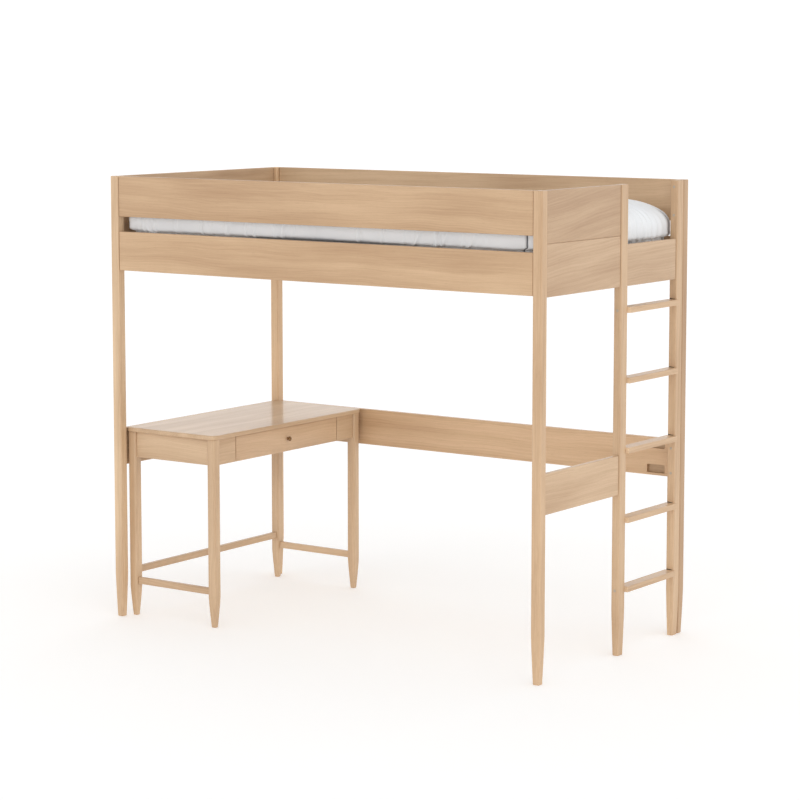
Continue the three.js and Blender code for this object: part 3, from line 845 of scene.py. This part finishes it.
def lengths_along(grid, axis):
    """The distance run along the rows or columns, up to each point."""
    steps = np.linalg.norm(np.diff(grid, axis=axis), axis=2)
    zero = np.zeros_like(np.take(steps, [0], axis=axis))
    return np.cumsum(np.concatenate([zero, steps], axis=axis), axis=axis)


def soft_noise(u, v, scale, seed):
    """Smooth noise from a few waves in chosen directions."""
    waves = np.random.default_rng(seed)
    total = np.zeros_like(u)
    for _ in range(9):
        angle = waves.uniform(0, math.pi)
        rate = 2 * math.pi / scale * waves.uniform(0.6, 1.6)
        phase = waves.uniform(0, 2 * math.pi)
        total += np.sin(rate * (u * math.cos(angle) + v * math.sin(angle)) + phase)
    return total / 4.5


def below(rise, level, spread):
    """1 well below a level and 0 well above it, with a soft step between them."""
    return 1 / (1 + np.exp((rise - level) / spread))


def above(rise, level, spread):
    """The same the other way up."""
    return below(-rise, -level, spread)


def folds(around, rise, end_start, end_stop):
    """How far the sheet's side stands out in folds, at distances round the sheet and up its side.
    The foot end, between its two distances round, is drawn into closer and deeper folds."""
    draw = np.random.default_rng(5)
    total = np.zeros_like(around)
    for _ in range(FOLD_COUNT):
        place = draw.uniform(0, around.max())
        width = draw.uniform(0.0045, 0.011)
        height = draw.lognormal(math.log(0.0020), 0.5)
        lean = draw.normal(0, 0.07)
        foot = draw.uniform(0.17, 0.19)
        crest = draw.uniform(0.25, 0.36)
        total += one_fold(around, rise, place, width, height, lean, foot, crest)
    place = end_start
    while place < end_stop:
        place += draw.uniform(0.026, 0.050)
        width = draw.uniform(0.009, 0.014)
        height = draw.uniform(0.0020, 0.0042)
        lean = draw.normal(0, 0.04)
        crest = draw.uniform(0.32, 0.46)
        total += one_fold(around, rise, place, width, height, lean, FOLD_FOOT, crest)
    for share in SLANTING_FOLDS:
        place = share * end_start
        total += one_fold(around, rise, place, 0.007, 0.0040, 0.5, FOLD_FOOT, 0.30)
    return total


def one_fold(around, rise, place, width, height, lean, foot, crest):
    """A ridge with a shallow valley beside it, which fades out at its two ends."""
    middle = (foot + crest) / 2
    x = (around - place - lean * (rise - middle)) / width
    ridge = np.exp(-x * x) - 0.55 * np.exp(-((x - 1.7) ** 2))
    return height * ridge * above(rise, foot, 0.012) * below(rise, crest, 0.018)


def grid_mesh(name, grid, closed_bottom):
    """A mesh of a mattress grid, its top strip closed across the bed."""
    rows, columns = grid.shape[:2]
    index = np.arange(rows * columns).reshape(rows, columns)
    after = np.roll(index, -1, 1)
    quads = np.stack([index[:-1], after[:-1], after[1:], index[1:]], 2).reshape(-1, 4)
    faces = quads.tolist()
    faces.append(index[-1].tolist())
    if closed_bottom:
        faces.append(index[0][::-1].tolist())
    mesh = bpy.data.meshes.new(name)
    mesh.from_pydata(grid.reshape(-1, 3).tolist(), [], faces)
    return mesh


def blurred(values, reach, axis):
    """A running mean over reach places on each side, wrapping round on the columns only."""
    total = np.zeros_like(values)
    for shift in range(-reach, reach + 1):
        if axis == 1:
            total += np.roll(values, shift, 1)
        else:
            rows = np.clip(np.arange(len(values)) + shift, 0, len(values) - 1)
            total += values[rows]
    return total / (2 * reach + 1)


def settled_cloth(q_fine):
    """Blows a coarse copy of the sheet up a little as real cloth, held at its hem. Returns how
    far each point of the fine grid then stands out."""
    profile = side_profile(0.0)
    q = column_places(CLOTH_PITCH, corner_steps=3)
    grid = mattress_grid(q, profile[::2])
    rows, columns = grid.shape[:2]
    mesh = grid_mesh("settling_sheet", grid, closed_bottom=True)
    piece = bpy.data.objects.new("settling_sheet", mesh)
    bpy.context.scene.collection.objects.link(piece)
    hem = piece.vertex_groups.new(name="hem")
    hem.add(list(range(CLOTH_HEM_ROWS * columns)), 1.0, "REPLACE")
    modifier = piece.modifiers.new("cloth", "CLOTH")
    modifier.settings.vertex_group_mass = "hem"
    modifier.settings.quality = CLOTH_QUALITY
    modifier.settings.use_pressure = True
    modifier.settings.uniform_pressure_force = CLOTH_PRESSURE
    modifier.settings.effector_weights.gravity = 0
    modifier.collision_settings.use_collision = False
    scene = bpy.context.scene
    for number in range(1, CLOTH_FRAMES + 1):
        scene.frame_set(number)
    settled = piece.evaluated_get(bpy.context.evaluated_depsgraph_get())
    points = points_of(settled.data).reshape(rows, columns, 3)
    out = ((points - grid) * grid_normals(grid)).sum(2)
    bpy.data.objects.remove(piece)
    bpy.data.meshes.remove(mesh)
    scene.frame_set(1)

    # Only the narrow swellings stay, each held within the reach, and go onto the fine grid.
    out = out - blurred(out, int(CLOTH_SPAN / CLOTH_PITCH / 2), 1)
    out = CLOTH_REACH * (np.tanh(out / CLOTH_REACH) - CLOTH_INWARD)
    by_column = np.array([np.interp(q_fine, q, row, period=8) for row in out])
    row_places = np.arange(len(profile)) / 2
    by_row = [np.interp(row_places, np.arange(rows), column) for column in by_column.T]
    return blurred(blurred(blurred(np.array(by_row).T, 2, 1), 2, 1), 1, 0)


def make_mattress():
    """The padded mattress inside the sheet."""
    q = column_places(CORE_PITCH, corner_steps=6)
    grid = mattress_grid(q, side_profile(CORE_DEPTH))
    mesh = grid_mesh("mattress_core", grid, closed_bottom=True)
    core = new_object("mattress_core", mesh, TICKING, FRAME_BODY)
    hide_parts("mattress")


def make_sheet():
    """The fitted sheet stretched over the mattress and tucked under it."""
    low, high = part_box("mattress")
    long_side = high.x - low.x - 2 * CORNER_RADIUS
    long_step = SEAM_COLUMN_STEP / long_side
    seam_share = SEAM_MARGIN / long_side
    # Each corner has a seam: two just before the corner, on a long side, and two in its start.
    seams = [(1 - seam_share, long_step), (5 - seam_share, long_step)]
    seams += [(corner + CORNER_SEAM_SHARE, CORNER_SEAM_STEP) for corner in (3, 7)]
    q = column_places(COLUMN_PITCH, corner_steps=10, seams=seams)
    grid = mattress_grid(q, side_profile(0.0))
    closed = np.concatenate([grid, grid[:, :1]], 1)
    around = lengths_along(closed, 1)[:, :-1]
    widest = len(grid) - TOP_STATIONS - CROWN_STATIONS - 3  # a row of the upright part
    around = np.repeat(around[widest : widest + 1], len(grid), 0)
    rise = lengths_along(grid, 0)
    normals = grid_normals(grid)

    # How far each point stands out: folds, waves and swellings, but none in the tuck.
    end_start = around[0, np.searchsorted(q, 1.5)]  # the middle of one corner
    end_stop = around[0, np.searchsorted(q, 3.5)]  # and of the next
    out = folds(around, rise, end_start, end_stop)
    waves = soft_noise(grid[:, :, 0], grid[:, :, 1], WAVE_LENGTH, 3)
    ripples = soft_noise(grid[:, :, 0], grid[:, :, 1], RIPPLE_LENGTH, 4)
    out += (WAVE_HEIGHT * waves + RIPPLE_HEIGHT * ripples) * above(rise, FLAT_LEVEL, 0.03)
    out += settled_cloth(q) * below(rise, SETTLED_LEVEL, 0.02)
    out = out * (1 - below(rise, TUCK_LEVEL, 0.004))
    # Painted shade, from 0 to 1: under the swelling between the rails, and down in each seam's
    # groove.
    painted_shade = WAIST_PAINTED_SHADE * below(rise, SHADE_LEVEL, 0.003)
    for seam, _ in seams:
        column = np.argmin(np.abs(q - seam))
        away = around - around[:, column : column + 1]
        seam_groove_and_shade = np.exp(-((away / SEAM_HALF_WIDTH) ** 2)) * below(rise, SEAM_TOP, 0.01)
        out -= SEAM_DEPTH * seam_groove_and_shade
        painted_shade = np.maximum(painted_shade, seam_groove_and_shade)

    grid = grid + normals * out[:, :, None]
    mesh = grid_mesh("fitted_sheet", grid, closed_bottom=False)
    add_vectors(mesh, "weave", np.stack([around, rise, painted_shade], 2).reshape(-1, 3))
    sheet = new_object("fitted_sheet", mesh, COTTON, FRAME_BODY)


# ---------------------------------------------------------------- floor, light and camera


def make_stage():
    """A pale floor that runs on out of sight."""
    mesh = bpy.data.meshes.new("floor")
    half = FLOOR_SIZE / 2
    corners = [(-half, -half, 0), (half, -half, 0), (half, half, 0), (-half, half, 0)]
    mesh.from_pydata(corners, [], [(0, 1, 2, 3)])
    n = Nodes("floor_paint")
    n.set(Base_Color=FLOOR_WHITE, Roughness=0.9, Specular_IOR_Level=0.2)
    n.set(Emission_Color=FLOOR_WHITE, Emission_Strength=FLOOR_GLOW)
    mesh.materials.append(n.material)
    floor = bpy.data.objects.new("floor", mesh)
    bpy.context.scene.collection.objects.link(floor)


def softbox(name, direction, strength):
    """A very wide, even light from one direction, as from a large softbox far away."""
    data = bpy.data.lights.new(name, "SUN")
    data.angle = SOFTBOX_ANGLE
    data.energy = strength
    lamp = bpy.data.objects.new(name, data)
    lamp.rotation_mode = "QUATERNION"
    lamp.rotation_quaternion = (-Vector(direction)).to_track_quat("-Z", "Y")
    bpy.context.scene.collection.objects.link(lamp)


def make_light():
    """Soft boxes, and a studio that is brightest at the height of its walls."""
    world = bpy.data.worlds.new("studio")
    world.use_nodes = True
    nodes, links = world.node_tree.nodes, world.node_tree.links
    background = nodes["Background"]
    view = nodes.new("ShaderNodeTexCoord").outputs["Generated"]
    height = nodes.new("ShaderNodeSeparateXYZ")
    links.new(view, height.inputs[0])
    ramp = nodes.new("ShaderNodeValToRGB")
    links.new(height.outputs["Z"], ramp.inputs["Fac"])
    links.new(fill_ramp(ramp, WALL_TO_CEILING), background.inputs["Color"])
    background.inputs["Strength"].default_value = WORLD_STRENGTH
    bpy.context.scene.world = world
    for name, (direction, strength) in SOFTBOXES.items():
        softbox(name, direction, strength)


def make_camera():
    """A long lens, from the open front and the ladder end."""
    data = bpy.data.cameras.new("camera")
    data.lens = CAMERA_LENS
    data.shift_y = CAMERA_SHIFT
    camera = bpy.data.objects.new("camera", data)
    camera.location = CAMERA_PLACE
    camera.rotation_euler = (math.pi / 2 - CAMERA_DIP, 0, CAMERA_AZIMUTH)
    bpy.context.scene.collection.objects.link(camera)
    bpy.context.scene.camera = camera
    bpy.context.scene.view_settings.view_transform = "Standard"


make_stage()
make_light()
make_camera()
make_uprights()
make_bed_boards()
make_slat_base()
make_desk()
make_drawer()
make_knob()
make_bolt_plugs()
make_rung_shade_strips()
make_mattress()
make_sheet()
